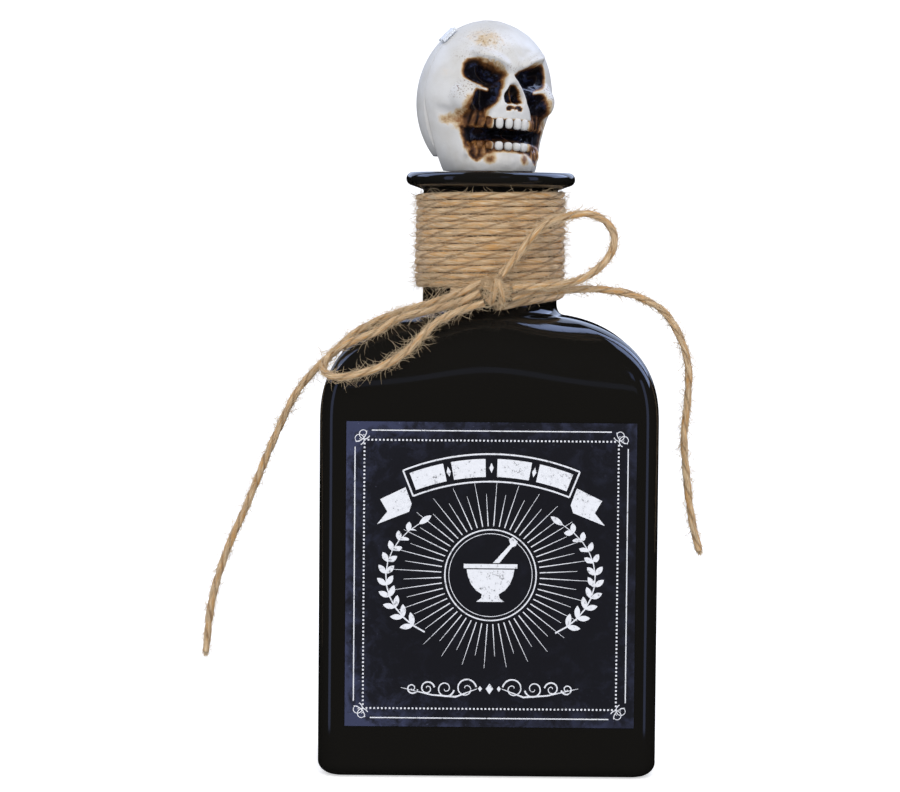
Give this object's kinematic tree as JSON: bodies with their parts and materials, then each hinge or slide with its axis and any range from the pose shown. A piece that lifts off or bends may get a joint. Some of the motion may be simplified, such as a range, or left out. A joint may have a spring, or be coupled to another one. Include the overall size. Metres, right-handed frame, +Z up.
{
  "type": "poison bottle",
  "caption": "Flat-sided rounded-shoulder glass bottle with a front label, twine bow round its neck and a skull-topped cork stopper.",
  "frame": {"origin": "centre of the bottle's base, at the resting plane", "axes": "+Z up along the bottle's axis, -Y out of the labelled face, +X to the viewer's right"},
  "size_m": [0.1402, 0.0605, 0.211],
  "materials": {
    "black_glass": "gloss",
    "label_film": "satin",
    "cork": "matt",
    "glue": "gloss",
    "moulded_bone": "satin",
    "clear_tab": "gloss",
    "twine": "matt"
  },
  "bodies": {
    "bottle": {"glass_bottle": "black_glass", "front_label": "label_film", "neck_winding": "twine", "tie_strand": "twine", "tie_end": "twine", "bow_knot": "twine", "bow_loop_right": "twine", "bow_loop_left": "twine", "bow_tail_right": "twine", "bow_tail_left": "twine"},
    "stopper": {"cork_plug": "cork", "glue_bead": "glue", "skull_face": "moulded_bone", "skull_back": "moulded_bone", "seam_tab": "clear_tab"}
  },
  "joints": [
    {"name": "stopper_lift", "type": "slide", "parent": "bottle", "child": "stopper", "axis": [0, 0, 1], "range_m": [0, 0.03]}
  ]
}
